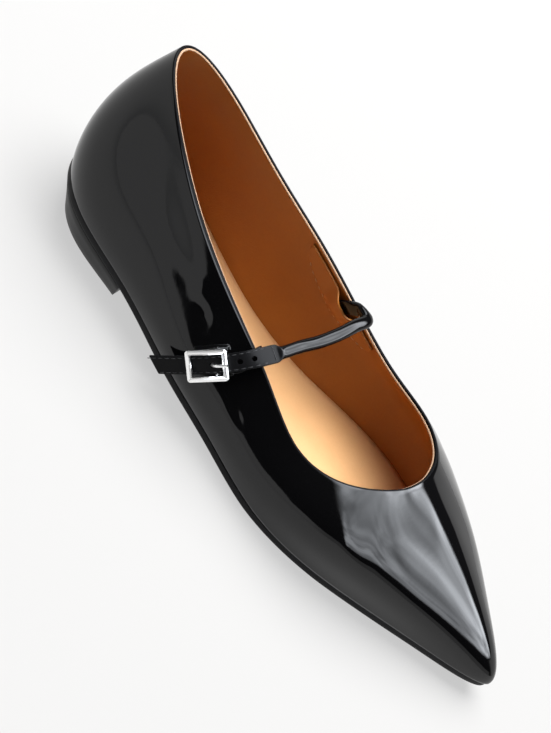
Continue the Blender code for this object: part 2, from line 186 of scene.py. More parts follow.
def ring_of(net, turn):
    """Points of the smooth closed ring on a net of control points."""
    at = (np.asarray(turn, float) % 1.0) * len(net)
    k = at.astype(int)
    t = (at - k)[..., None]
    p = [net[(k + j) % len(net)] for j in (-1, 0, 1, 2)]
    a = (1 - t) ** 3 * p[0] + (3 * t**3 - 6 * t * t + 4) * p[1]
    b = (-3 * t**3 + 3 * t * t + 3 * t + 1) * p[2] + t**3 * p[3]
    return (a + b) / 6


def skin(turn, climb):
    """Outer skin: turn runs toe, medial side, heel, lateral side; climb runs foot to top."""
    turn, climb = np.broadcast_arrays(np.asarray(turn, float), np.asarray(climb, float))
    p = [ring_of(net, turn) for net in NETS]
    c = climb[..., None]
    low = (1 - c) ** 3 * p[0] + 3 * (1 - c) ** 2 * c * p[1]
    return low + 3 * (1 - c) * c * c * p[2] + c**3 * p[3]


def skin_out(turn, climb):
    """Direction square to the outer skin, away from the foot."""
    turn, climb = np.broadcast_arrays(np.asarray(turn, float), np.asarray(climb, float))
    run = skin(turn + 0.0015, climb) - skin(turn - 0.0015, climb)
    low = np.maximum(climb - 0.008, 0.0)
    lift = skin(turn, np.minimum(low + 0.016, 1.0)) - skin(turn, low)
    side = np.cross(run, lift)
    return side / np.linalg.norm(side, axis=-1)[..., None]


def smooth_path(points, steps):
    """A curve through a few rows of numbers, with a set number of steps between each two."""
    points = np.array(points, float)
    slope = np.gradient(points, axis=0)
    t = (np.arange(steps) / steps)[None, :, None]
    p, q, m, n = points[:-1, None], points[1:, None], slope[:-1, None], slope[1:, None]
    a = (1 + 2 * t) * (1 - t) ** 2 * p + t * t * (3 - 2 * t) * q
    b = t * (1 - t) ** 2 * m - t * t * (1 - t) * n
    made = (a + b).reshape(-1, points.shape[1])
    return np.concatenate([made, points[-1:]])


def frames_of(path, across=(0.0, -1.0, 0.0)):
    """Run, width and outward directions at each point of a path across the foot."""
    across = np.array(across)
    run = np.gradient(path, axis=0)
    run = run / np.linalg.norm(run, axis=1)[:, None]
    wide = across - run * (run @ across)[:, None]
    wide = wide / np.linalg.norm(wide, axis=1)[:, None]
    return run, wide, np.cross(run, wide)


# Shader maths


def feed(tree, slot, value):
    """Link or set one socket."""
    if isinstance(value, Dial):
        value = value.socket
    if isinstance(value, bpy.types.NodeSocket):
        tree.links.new(value, slot)
    elif slot.type == "RGBA":
        slot.default_value = tuple(value) + (1.0,)
    else:
        slot.default_value = value


def add_node(tree, kind, settings=None, values=None):
    """A node from its type, its settings and the values or links of its sockets."""
    node = tree.nodes.new(kind)
    for name, value in (settings or {}).items():
        if name == "stops":
            ramp = node.color_ramp
            while len(ramp.elements) < len(value):
                ramp.elements.new(0.5)
            for stop, (at, colour) in zip(ramp.elements, value):
                stop.position = at
                stop.color = tuple(colour) + (1.0,)
        else:
            setattr(node, name, value)
    for name, value in (values or {}).items():
        feed(tree, node.inputs[name], value)
    return node


class Dial:
    """A shader value that takes part in plain arithmetic."""

    def __init__(self, socket):
        self.socket = socket

    def maths(self, how, *others):
        values = dict(enumerate((self,) + others))
        node = add_node(self.socket.id_data, "ShaderNodeMath", {"operation": how}, values)
        return Dial(node.outputs[0])

    def __add__(self, other):
        return self.maths("ADD", other)

    __radd__ = __add__

    def __sub__(self, other):
        return self.maths("SUBTRACT", other)

    def __rsub__(self, other):
        return (self * -1.0) + other

    def __mul__(self, other):
        return self.maths("MULTIPLY", other)

    __rmul__ = __mul__

    def __truediv__(self, other):
        return self.maths("DIVIDE", other)

    def at_least(self, other):
        return self.maths("MAXIMUM", other)

    def at_most(self, other):
        return self.maths("MINIMUM", other)


def fade(value, low, high):
    """Soft step from 0 at low to 1 at high."""
    values = {"Value": value, "From Min": min(low, high), "From Max": max(low, high)}
    values["To Min"] = 1.0 if low > high else 0.0
    values["To Max"] = 0.0 if low > high else 1.0
    smooth = {"interpolation_type": "SMOOTHSTEP"}
    node = add_node(value.socket.id_data, "ShaderNodeMapRange", smooth, values)
    return Dial(node.outputs["Result"])


class Finish:
    """One material and the nodes that it is made of."""

    def __init__(self, name):
        self.material = bpy.data.materials.new(name)
        self.material.use_nodes = True
        self.tree = self.material.node_tree
        self.shader = self.tree.nodes["Principled BSDF"]

    def node(self, kind, settings=None, values=None):
        return add_node(self.tree, kind, settings, values)

    def set(self, **values):
        """Values or links of the shader's sockets, by name with _ for a space."""
        for name, value in values.items():
            feed(self.tree, self.shader.inputs[name.replace("_", " ")], value)

    def place(self):
        return self.node("ShaderNodeTexCoord").outputs["Object"]

    def stretched(self, scale):
        """The object's own coordinates, scaled on each axis."""
        values = {"Vector": self.place(), "Scale": scale}
        return self.node("ShaderNodeMapping", None, values).outputs[0]

    def noise(self, scale, detail=3.0, rough=0.5, vector=None):
        values = {"Vector": vector or self.place(), "Scale": scale}
        values.update({"Detail": detail, "Roughness": rough})
        return Dial(self.node("ShaderNodeTexNoise", None, values).outputs["Fac"])

    def cells(self, scale):
        """Distance to the nearest of a field of scattered points."""
        values = {"Vector": self.place(), "Scale": scale}
        return Dial(self.node("ShaderNodeTexVoronoi", None, values).outputs["Distance"])

    def ramp(self, value, stops):
        return self.node("ShaderNodeValToRGB", {"stops": stops}, {"Fac": value}).outputs["Color"]

    def spread(self, value, low, high, to_low=0.0, to_high=1.0):
        """A value mapped from one range to another, held at its ends."""
        values = {"Value": value, "From Min": low, "From Max": high}
        values.update({"To Min": to_low, "To Max": to_high})
        return Dial(self.node("ShaderNodeMapRange", None, values).outputs["Result"])

    def relief(self, height, depth, strength=1.0, under=None):
        """A bump of a height in metres, over another bump if there is one."""
        values = {"Height": height, "Distance": depth, "Strength": strength}
        if under is not None:
            values["Normal"] = under
        return self.node("ShaderNodeBump", None, values).outputs["Normal"]


def seam_grooves(made):
    """Depth of the upper's two closed seams: medial side seam and back seam, 1 at their middle."""
    split = made.node("ShaderNodeSeparateXYZ", None, {"Vector": made.place()})
    x, y, z = [Dial(split.outputs[k]) for k in ("X", "Y", "Z")]
    off = (y + z * 0.35 + 0.0860).maths("ABSOLUTE")
    side = fade(off, 0.00045, 0.0) * fade(x, 0.002, 0.006)
    puff = fade((off - 0.0011).maths("ABSOLUTE"), 0.0009, 0.0) * fade(x, 0.002, 0.006)
    off = (x + 0.0002).maths("ABSOLUTE")
    back = fade(off, 0.00045, 0.0) * fade(y, 0.0, 0.01)
    puff = puff + fade((off - 0.0011).maths("ABSOLUTE"), 0.0009, 0.0) * fade(y, 0.0, 0.01)
    return puff * 0.35 - side - back


def patent(name, wave=0.00016, wet=0.035, film=1.43, seams=False):
    """Black patent leather: mirror film over leather that is not quite even."""
    made = Finish(name)
    slow = made.noise(38.0, 1.0, 0.4)
    peel = made.noise(420.0, 2.0, 0.5)
    dust = made.noise(2600.0, 2.0, 0.6)
    haze = made.noise(70.0, 3.0, 0.55)
    bump = made.relief(slow, wave)
    if seams:
        bump = made.relief(seam_grooves(made), 0.00025, 1.0, bump)
    bump = made.relief(peel, 0.000006, 1.0, bump)
    bump = made.relief(dust, 0.0000012, 1.0, bump)
    rough = made.spread(haze, 0.35, 0.75, wet, wet + 0.035)
    made.set(Base_Color=(0.0030, 0.0030, 0.0034), Roughness=rough, IOR=film, Normal=bump)
    return made.material


def tan_leather(name, light, dark, grain=1.0, sheen=0.42):
    """Vegetable tan lining or sock: fine pores, soft cloudiness, low sheen."""
    made = Finish(name)
    cloud = made.noise(26.0, 4.0, 0.6)
    pores = made.cells(1500.0)
    fibre = made.noise(900.0, 3.0, 0.65)
    colour = made.ramp(cloud * 0.75 + fibre * 0.25, ((0.30, dark), (0.72, light)))
    bump = made.relief(pores, 0.00003 * grain)
    bump = made.relief(fibre, 0.00002 * grain, 1.0, bump)
    rough = made.spread(cloud, 0.3, 0.7, sheen, sheen + 0.12)
    made.set(Base_Color=colour, Roughness=rough, IOR=1.45, Normal=bump)
    return made.material


def cut_edge(name):
    """Raw pale edge of the lining leather under the topline."""
    made = Finish(name)
    fibre = made.noise(1700.0, 3.0, 0.7)
    colour = made.ramp(fibre, ((0.3, (0.34, 0.21, 0.13)), (0.7, (0.52, 0.36, 0.25))))
    made.set(Base_Color=colour, Roughness=0.75, Normal=made.relief(fibre, 0.00005))
    return made.material


def painted_edge(name):
    """Black edge paint on leather: satin, slightly uneven."""
    made = Finish(name)
    brush = made.noise(1.0, 3.0, 0.6, made.stretched((260.0, 260.0, 1600.0)))
    haze = made.noise(120.0, 3.0, 0.6)
    bump = made.relief(brush, 0.00003)
    rough = made.spread(haze, 0.3, 0.7, 0.42, 0.58)
    made.set(Base_Color=(0.005, 0.005, 0.0055), Roughness=rough, IOR=1.27, Normal=bump)
    return made.material


def heel_film(name):
    """Dark satin film on the heel block."""
    made = Finish(name)
    grain = made.noise(1500.0, 2.0, 0.6)
    cloud = made.noise(60.0, 3.0, 0.6)
    colour = made.ramp(cloud, ((0.3, (0.005, 0.005, 0.005)), (0.7, (0.010, 0.010, 0.010))))
    made.set(Base_Color=colour, Roughness=made.spread(cloud, 0.3, 0.7, 0.33, 0.45))
    made.set(IOR=1.33, Normal=made.relief(grain, 0.00001))
    return made.material


def tread_rubber(name):
    """Underside of the outsole and heel: fine-textured black rubber."""
    made = Finish(name)
    dots = made.cells(620.0)
    scuff = made.noise(1.0, 4.0, 0.6, made.stretched((420.0, 60.0, 200.0)))
    bump = made.relief(dots, 0.00012)
    colour = made.ramp(scuff, ((0.35, (0.010, 0.010, 0.011)), (0.80, (0.032, 0.031, 0.030))))
    made.set(Base_Color=colour, Roughness=made.spread(scuff, 0.3, 0.8, 0.5, 0.72), Normal=bump)
    return made.material


def silver(name):
    """Polished silver plate with faint buffing and a few hairlines."""
    made = Finish(name)
    buff = made.noise(1.0, 3.0, 0.6, made.stretched((500.0, 500.0, 4200.0)))
    cloud = made.noise(240.0, 3.0, 0.55)
    rough = made.spread(cloud, 0.3, 0.75, 0.30, 0.40)
    bump = made.relief(buff, 0.000004)
    made.set(Base_Color=(0.97, 0.968, 0.96), Metallic=1.0, Roughness=rough, Normal=bump)
    return made.material


def thread(name, colour):
    """Waxed sewing thread."""
    made = Finish(name)
    twist = made.noise(3200.0, 2.0, 0.6)
    made.set(Base_Color=colour, Roughness=0.55, Normal=made.relief(twist, 0.00004))
    return made.material


# Mesh makers


def mesh_piece(name, verts, faces, finishes, node=None, which=None):
    """One object from its points and faces; which gives each face's place in the finishes."""
    mesh = bpy.data.meshes.new(name)
    mesh.from_pydata([tuple(v) for v in verts], [], faces)
    for finish in finishes:
        mesh.materials.append(finish)
    if which is not None:
        mesh.polygons.foreach_set("material_index", which)
    work = bmesh.new()
    work.from_mesh(mesh)
    bmesh.ops.remove_doubles(work, verts=work.verts, dist=2e-6)
    bmesh.ops.recalc_face_normals(work, faces=work.faces)
    for face in work.faces:
        face.smooth = True
    work.to_mesh(mesh)
    work.free()
    made = bpy.data.objects.new(name, mesh)
    bpy.context.scene.collection.objects.link(made)
    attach(made, "root")
    if node:
        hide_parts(node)
    return made


def grid_faces(rows, count, closed):
    """Faces of a grid of rows of points, each row closed or open."""
    faces = []
    last = count if closed else count - 1
    for j in range(rows - 1):
        for k in range(last):
            a = j * count + k
            b = j * count + (k + 1) % count
            faces.append((a, b, b + count, a + count))
    return faces


def grid_piece(name, grid, finishes, closed=True, node=None, row_finish=None):
    """A skin from a grid of points, rows by count, with one finish for each band of rows."""
    rows, count = grid.shape[:2]
    faces = grid_faces(rows, count, closed)
    which = None
    if row_finish is not None:
        each = count if closed else count - 1
        which = [row_finish[j] for j in range(rows - 1) for k in range(each)]
    return mesh_piece(name, grid.reshape(-1, 3), faces, finishes, node, which)


def band(name, path, axes, half_width, half_thick, square, finishes, node, slant=0.0, sides=28):
    """A strip along a path, its section from a round roll to a flat strap."""
    run, wide, out = axes
    turn = 2 * math.pi * (np.arange(sides) + 0.5) / sides
    power = np.asarray(square)[:, None]
    x = np.sign(np.cos(turn)) * np.abs(np.cos(turn)) ** power
    y = np.sign(np.sin(turn)) * np.abs(np.sin(turn)) ** power
    tail = np.clip((np.arange(len(path)) - len(path) + 9) / 8, 0, 1)[:, None] * slant
    grid = path[:, None] + wide[:, None] * (x * np.asarray(half_width)[:, None])[..., None]
    grid = grid + out[:, None] * (y * np.asarray(half_thick)[:, None])[..., None]
    grid = grid - run[:, None] * (tail * (x + 1) / 2)[..., None]
    faces = grid_faces(len(path), sides, True)
    faces.append(tuple(range(sides)))
    faces.append(tuple(range((len(path) - 1) * sides, len(path) * sides)))
    return mesh_piece(name, grid.reshape(-1, 3), faces, finishes, node)


def stitches(name, spots, runs, outs, finish, length=0.0019, radius=0.00022):
    """A row of short thread stitches, each sunk at both ends."""
    verts = []
    faces = []
    for spot, run, out in zip(spots, runs, outs):
        side = np.cross(run, out)
        base = len(verts)
        for j in range(5):
            t = j / 4 - 0.5
            wide = radius * math.sqrt(max(1 - (1.9 * t) ** 2, 0.08))
            mid = spot + run * length * t + out * radius * (0.9 - 5.5 * t * t)
            for k in range(6):
                a = math.pi * k / 3
                verts.append(mid + (side * math.cos(a) + out * math.sin(a)) * wide)
        for j in range(4):
            for k in range(6):
                a = base + 6 * j + k
                b = base + 6 * j + (k + 1) % 6
                faces.append((a, b, b + 6, a + 6))
        faces.append(tuple(range(base, base + 6)))
        faces.append(tuple(range(base + 24, base + 30)))
    mesh_piece(name, verts, faces, [finish])


def topline(count):
    """Topline points, their turns, and the directions out of the wall and up along it."""
    turn = np.arange(count) / count
    top = skin(turn, 1.0)
    side = skin_out(turn, 1.0)
    run = np.roll(top, -1, 0) - np.roll(top, 1, 0)
    lift = np.cross(side, run)
    lift = lift / np.linalg.norm(lift, axis=1)[:, None]
    return turn, top, side, lift * np.sign(lift[:, 2])[:, None]


def foot_ring(count, climb, inset):
    """Ring of points of the outer skin at a climb, moved in by an inset."""
    ring = skin(np.arange(count) / count, climb)
    return ring - outwards(ring) * inset


def rungs(ring, longest=1.0):
    """Pairs of medial and lateral points from the heel forwards to a distance from the heel."""
    count = len(ring)
    pairs = []
    for k in range(count // 2, -1, -1):
        med = ring[k]
        lat = ring[(count - k) % count]
        if along_of(min(med[1], lat[1])) > longest:
            before = pairs[-1]
            line = REST_SHARE * LENGTH - longest
            ends = []
            for now, past in ((med, before[0]), (lat, before[1])):
                ends.append(past + (now - past) * (line - past[1]) / (now[1] - past[1]))
            pairs.append(np.array(ends))
            break
        pairs.append(np.array((med, lat)))
    return np.array(pairs)


def slab(name, layers, finishes, node, across=24, tops=0, sides=1, unders=0, crown=None):
    """A plate from layers of rungs, each (pairs, height function), from its top down."""
    verts = []
    wide = across + 1
    for pairs, height in layers:
        for med, lat in pairs:
            spot = med + (lat - med) * (np.arange(wide) / across)[:, None]
            high = height(along_of(spot[:, 1]))
            verts.append(np.stack([spot[:, 0], spot[:, 1], high], 1))
    verts = np.array(verts).reshape(len(layers), -1, 3)
    if crown is not None:
        verts[0, :, 2] += crown(verts[0], wide)
    count = len(layers[0][0])
    layer = count * wide
    faces = []
    which = []
    loop = [k * wide for k in range(count)]
    loop = loop + [(count - 1) * wide + j for j in range(1, wide)]
    loop = loop + [k * wide + across for k in range(count - 2, -1, -1)]
    loop = loop + [j for j in range(across - 1, 0, -1)]
    for k in range(count - 1):
        for j in range(across):
            a = k * wide + j
            faces.append((a, a + 1, a + wide + 1, a + wide))
            which.append(tops)
            b = a + (len(layers) - 1) * layer
            faces.append((b, b + wide, b + wide + 1, b + 1))
            which.append(unders)
    for n in range(len(layers) - 1):
        for k in range(len(loop)):
            a = loop[k] + n * layer
            b = loop[(k + 1) % len(loop)] + n * layer
            faces.append((a, b, b + layer, a + layer))
            which.append(sides)
    mesh_piece(name, verts.reshape(-1, 3), faces, finishes, node, which)


# Finishes of this shoe
upper_patent = patent("black_patent", seams=True)
rim_patent = patent("folded_edge_patent", 0.00001, 0.30, 1.13)
strap_patent = patent("strap_patent", 0.00003, 0.05, 1.29)
strap_flat = patent("strap_flat_patent", 0.00003, 0.40, 1.20)
# Lining: its own tan leather colour, set darker and redder than the sock as painted shade for the deep
# inside of the shoe
lining_tan_painted_shade = tan_leather("lining_leather_painted_shade", (0.355, 0.120, 0.013), (0.28, 0.086, 0.008))
sock_tan = tan_leather("sock_leather", (0.74, 0.445, 0.215), (0.66, 0.38, 0.172), 0.8, 0.40)
# Patch: its own tan leather colour, darkened like the lining as painted shade for the inside of the
# wall
patch_tan_painted_shade = tan_leather("patch_leather_painted_shade", (0.36, 0.125, 0.016), (0.29, 0.092, 0.010))
pale_edge = cut_edge("lining_cut_edge")
edge_black = painted_edge("sole_edge_paint")
heel_black = heel_film("heel_film")
tread_black = tread_rubber("tread_rubber")
buckle_silver = silver("buckle_silver")
black_thread = thread("black_thread", (0.012, 0.012, 0.013))
tan_thread = thread("tan_thread", (0.50, 0.31, 0.17))


# Soft ridges and troughs that lasting and a little wear leave in the patent
# name, turn, climb, turn_spread, climb_spread, height in metres
WAVES = [
    ("toe_flat_lateral", 0.925, 0.62, 0.030, 0.16, -0.00022),
    ("toe_flat_medial", 0.070, 0.60, 0.030, 0.16, -0.00020),
    ("vamp_fullness", 0.075, 0.60, 0.040, 0.26, 0.00150),
    ("vamp_dent", 0.985, 0.70, 0.022, 0.10, -0.00018),
    ("vamp_ridge", 0.020, 0.78, 0.018, 0.09, 0.00012),
    ("flex_lateral", 0.860, 0.72, 0.010, 0.20, -0.00022),
    ("flex_lateral_ridge", 0.842, 0.70, 0.009, 0.20, 0.00016),
    ("flex_medial", 0.142, 0.70, 0.010, 0.20, -0.00020),
    ("buckle_pull", 0.712, 0.80, 0.014, 0.16, -0.00020),
    ("strap_ripple", 0.674, 0.74, 0.0055, 0.060, -0.00032),
    ("strap_ripple_ridge", 0.664, 0.80, 0.0050, 0.070, 0.00024),
    ("rim_swell", 0.642, 0.93, 0.048, 0.16, 0.00085),
    ("waist_swell", 0.692, 0.78, 0.026, 0.15, 0.00065),
    ("waist_ripple", 0.730, 0.60, 0.0090, 0.070, -0.00022),
    ("counter_edge_lateral", 0.640, 0.55, 0.010, 0.30, 0.00010),
    ("counter_edge_medial", 0.360, 0.55, 0.010, 0.30, 0.00010),
]


def worn_skin(turn, climb):
    """Outer skin with its soft waves."""
    turn, climb = np.broadcast_arrays(np.asarray(turn, float), np.asarray(climb, float))
    lift = np.zeros(turn.shape)
    for row in WAVES:
        away = (turn - row[1] + 0.5) % 1.0 - 0.5
        lift = lift + row[5] * np.exp(-((away / row[3]) ** 2) - ((climb - row[2]) / row[4]) ** 2)
    return skin(turn, climb) + skin_out(turn, climb) * lift[..., None]


def make_upper():
    """Patent shell: tucked foot edge, outer skin, folded topline and the fold's inner lip."""
    turn, top, side, lift = topline(640)
    rows = []
    foot = skin(turn, 0.0)
    out = outwards(foot)
    up = np.array([[0.0, 0.0, 1.0]])
    tuck = ((0.0030, 0.00045), (0.0016, 0.00045), (0.0008, 0.0004), (0.0003, 0.0002))
    for inset, drop in tuck:
        rows.append(foot - out * inset - up * drop)
    for climb in np.linspace(0.0, 1.0, 60):
        rows.append(worn_skin(turn, climb))
    rim = top - side * EDGE_RADIUS
    outer_rows = len(rows) - 1
    for part in range(75, -91, -15):
        a = math.radians(part)
        out = side * EDGE_RADIUS * math.sin(a)
        rows.append(rim + out + lift * EDGE_RADIUS * math.cos(a) * 0.9)
    for drop in (0.0004, 0.0009, 0.0014):
        rows.append(rim - side * EDGE_RADIUS - lift * drop)
    finish = [0] * outer_rows + [1] * (len(rows) - outer_rows - 1)
    finishes = [upper_patent, rim_patent]
    grid_piece("patent_upper", np.array(rows), finishes, True, "upper", finish)


def make_lining():
    """Tan lining inside the wall, with its pale cut edge under the fold."""
    turn, top, side, lift = topline(480)
    outer = top - side * (2 * EDGE_RADIUS - 0.00006)
    inner = top - side * (2 * EDGE_RADIUS + LINING_THICK)
    rows = [outer - lift * 0.0012, outer + lift * 0.00042]
    rows.append((outer + inner) / 2 + lift * 0.00056)
    rows.append(inner + lift * 0.00036)
    inset = 2 * EDGE_RADIUS + LINING_THICK
    for climb in np.linspace(0.985, 0.0, 44):
        rows.append(skin(turn, climb) - skin_out(turn, climb) * inset)
    finish = [0, 0, 0] + [1] * (len(rows) - 4)
    grid_piece("lining", np.array(rows), [pale_edge, lining_tan_painted_shade], True, None, finish)


def make_sole():
    """Outsole plate with a soft painted edge, textured underneath."""
    count = 560
    layers = []
    base = GAP + 0.12 * SOLE_THICK
    profile = (
        (1.6, 0.0),
        (0.35, 0.0),
        (0.0, 0.14),
        (0.0, 0.72),
        (0.3, 0.92),
        (1.0, 1.0),
    )
    for inset, share in profile:
        pairs = rungs(foot_ring(count, 0.0, base + inset * 0.0005))
        drop = lambda a, s=share: height_of_sole(a) * (1 - s) + underside(a) * s
        layers.append((pairs, drop))
    slab("outsole_plate", layers, [edge_black, edge_black, tread_black], "outsole", 20, 0, 1, 2)


def make_heel():
    """Heel block: narrows to the floor, with softened edges."""
    top = rungs(foot_ring(560, 0.0, 4 * GAP), HEEL_LENGTH)
    breast = REST_SHARE * LENGTH - HEEL_LENGTH
    layers = []
    stack = ((0.0, 0.004), (0.02, 0.0), (0.35, 0.003), (0.70, 0.002), (0.955, 0.0), (1.0, 0.008))
    for share, trim in stack:
        pairs = top.copy()
        narrow = 1 - 0.12 * share - trim
        shorten = 1 - 0.15 * share - trim
        pairs[..., 0] = pairs[..., 0] * narrow + 0.01 * BALL_WIDTH * share
        pairs[..., 1] = breast + (pairs[..., 1] - breast) * shorten
        layers.append((pairs, lambda a, s=share: (underside(a) - GAP) * (1 - s)))
    slab("heel_stack", layers, [heel_black, heel_black, tread_black], "heel_block", 20, 0, 1, 2)


def make_sock():
    """Insole sock: slightly dished, its edge run down inside the lining."""
    count = 420
    inset = 2 * EDGE_RADIUS + LINING_THICK + 0.0002

    def dish(spots, wide):
        j = np.arange(len(spots)) % wide
        across = 2 * j / (wide - 1) - 1
        return 0.0009 * np.abs(across) ** 3 - 0.0004

    layers = []
    top = GAP + INSOLE_THICK
    edges = ((0.034, 0.0, 0.0), (0.030, -0.0001, 0.0007), (0.004, 0.0001, 0.0019))
    for climb, more, drop in edges:
        pairs = rungs(foot_ring(count, climb, inset + more))
        layers.append((pairs, lambda a, d=drop: height_of_sole(a) + top - d))
    slab("insole_sock", layers, [sock_tan], "insole", 28, 0, 0, 0, dish)


def punch_holes(strap, spots, aims):
    """Cut the strap's round holes through and keep their edges crisp."""
    punches = []
    for k, (spot, aim) in enumerate(zip(spots, aims)):
        bpy.ops.mesh.primitive_cylinder_add(
            vertices=24, radius=HOLE_RADIUS, depth=4 * STRAP_THICK, location=tuple(spot)
        )
        punch = bpy.context.object
        punch.name = "punch_%d" % (k + 1)
        punch.rotation_euler = Vector(tuple(aim)).to_track_quat("Z", "Y").to_euler()
        hole = strap.modifiers.new("hole", "BOOLEAN")
        hole.object = punch
        hole.solver = "EXACT"
        punches.append(punch)
    bpy.context.view_layer.update()
    solid = strap.evaluated_get(bpy.context.evaluated_depsgraph_get())
    cut = bpy.data.meshes.new_from_object(solid)
    strap.modifiers.clear()
    strap.data = cut
    cut.set_sharp_from_angle(angle=math.radians(40))
    for punch in punches:
        bpy.data.objects.remove(punch)


def make_strap():
    """Rolled strap, its flat punched end and its stitches."""
    rows = []
    for name, along, out, high, half, roll in STRAP_PATH:
        y = (REST_SHARE - along) * LENGTH
        rows.append((out * BALL_WIDTH, y, high * BACK_HEIGHT, half, roll))
    rows = smooth_path(rows, STRAP_STEPS)
    path = rows[:, :3]
    roll = np.clip(rows[:, 4], 0.0, 1.0)
    at = np.arange(len(path))
    past = np.clip((at - JOINT_AT) / 5.0, 0, 1)
    flattened = np.where(at < JOINT_AT, 1.0, 1 - past * past * (3 - 2 * past))
    roll = np.where(at > 6 * STRAP_STEPS, flattened, roll)
    half_width = np.clip(rows[:, 3], 0.4, 0.5) * STRAP_WIDTH * (1.0 - 0.13 * roll)
    half_thick = (STRAP_THICK + (ROLL_THICK - STRAP_THICK) * roll) / 2
    square = 0.30 + 0.66 * roll
    axes = frames_of(path)
    slant = 0.45 * STRAP_WIDTH
    finishes = [strap_patent, strap_flat]
    strap = band("strap", path, axes, half_width, half_thick, square, finishes, "strap", slant)
    for face in strap.data.polygons:
        spot = np.array(face.center)
        if np.argmin(((path - spot) ** 2).sum(1)) > JOINT_AT + 1:
            face.material_index = 1
    run, wide, out = axes
    steps = np.linalg.norm(np.diff(path, axis=0), axis=1)
    reached = np.concatenate([[0.0], np.cumsum(steps)])
    centre = reached[BUCKLE_AT]

    def at_reach(want, values):
        return np.array([np.interp(want, reached, values[:, j]) for j in range(3)])

    wants = [centre - 0.1 * BUCKLE_LENGTH - k * HOLE_STEP for k in range(4)]
    aims = [at_reach(want, out) for want in wants]
    punch_holes(strap, [at_reach(want, path) for want in wants], aims)
    spots = []
    runs = []
    outs = []

    def stitch(want, share, along):
        outward = at_reach(want, out)
        spot = at_reach(want, path) + at_reach(want, wide) * share * STRAP_WIDTH
        spots.append(spot + outward * STRAP_THICK * 0.49)
        runs.append(at_reach(want, along))
        outs.append(outward)

    for want in np.arange(centre - 0.0205, centre + 0.0245, 0.0026):
        stitch(want, -0.39, run)
        if want <= centre + 0.020:
            stitch(want, 0.39, run)
    for share in (-0.30, -0.10, 0.10, 0.30):
        stitch(reached[int(JOINT_AT) + 8], share, wide)
    stitches("strap_stitches", spots, runs, outs, black_thread, 0.0018, 0.00016)
    return path, axes


def make_buckle(path, axes):
    """Silver frame with rounded bars, its low bar and the prong."""
    run, wide, out = axes
    centre, run_b, wide_b, out_b = [row[BUCKLE_AT] for row in (path, run, wide, out)]
    face_at = STRAP_THICK / 2 + GAP
    ring_at = centre + out_b * (face_at + BUCKLE_THICK / 2)
    corner = 0.0013
    verts = []
    section = []
    for k in range(12):
        a = 2 * math.pi * k / 12
        parts = (math.cos(a), math.sin(a))
        section.append([math.copysign(abs(part) ** 0.55, part) for part in parts])
    spine = []
    for sx, sy, first in ((1, 1, 0), (-1, 1, 90), (-1, -1, 180), (1, -1, 270)):
        for j in range(6):
            a = math.radians(first + 18 * j)
            inner = corner - BUCKLE_BAR / 2
            half_x = BUCKLE_LENGTH / 2 - BUCKLE_BAR / 2 - inner
            half_y = BUCKLE_WIDTH / 2 - BUCKLE_BAR / 2 - inner
            flat = np.array([math.cos(a), math.sin(a)])
            spine.append((np.array([sx * half_x, sy * half_y]) + flat * inner, flat))
    for spot, flat in spine:
        for x, y in section:
            plane = spot + flat * x * BUCKLE_BAR / 2
            place = ring_at + run_b * plane[0] + wide_b * plane[1]
            verts.append(place + out_b * y * BUCKLE_THICK / 2)
    faces = []
    for k in range(len(spine)):
        n = (k + 1) % len(spine)
        for j in range(12):
            m = (j + 1) % 12
            faces.append((k * 12 + j, k * 12 + m, n * 12 + m, n * 12 + j))
    mesh_piece("buckle_ring", verts, faces, [buckle_silver], "buckle_frame")
    bar_thick = 0.4 * BUCKLE_BAR
    turn_radius = 0.55 * bar_thick + 1.4 * GAP + TAB_THICK / 2
    bar_high = STRAP_THICK / 2 + GAP + TAB_THICK / 2 + turn_radius
    bar_at = centre - run_b * 0.12 * BUCKLE_LENGTH - out_b * bar_high
    reach = BUCKLE_WIDTH / 2 - BUCKLE_BAR / 2
    ends = face_at + 0.0006 + bar_high
    staple = []
    for y, z in ((-1, ends), (-1, 0.0012), (-0.86, 0.0), (0.86, 0.0), (1, 0.0012), (1, ends)):
        staple.append(bar_at + wide_b * y * reach + out_b * z)
    tube("buckle_low_bar", staple, bar_thick / 2, buckle_silver)
    lift = face_at + BUCKLE_THICK + GAP + 0.3 * BUCKLE_BAR
    track = [(-0.10, -0.5 * STRAP_THICK), (-0.10, 0.4 * STRAP_THICK), (-0.14, 0.45 * lift)]
    track = track + [(-0.23, 0.85 * lift), (-0.33, lift), (-0.52, lift)]
    points = smooth_path([centre + run_b * a * BUCKLE_LENGTH + out_b * b for a, b in track], 6)
    tube("prong", points, 0.275 * BUCKLE_BAR, buckle_silver, "buckle_prong")
    return centre, run_b, wide_b, out_b, bar_at, turn_radius


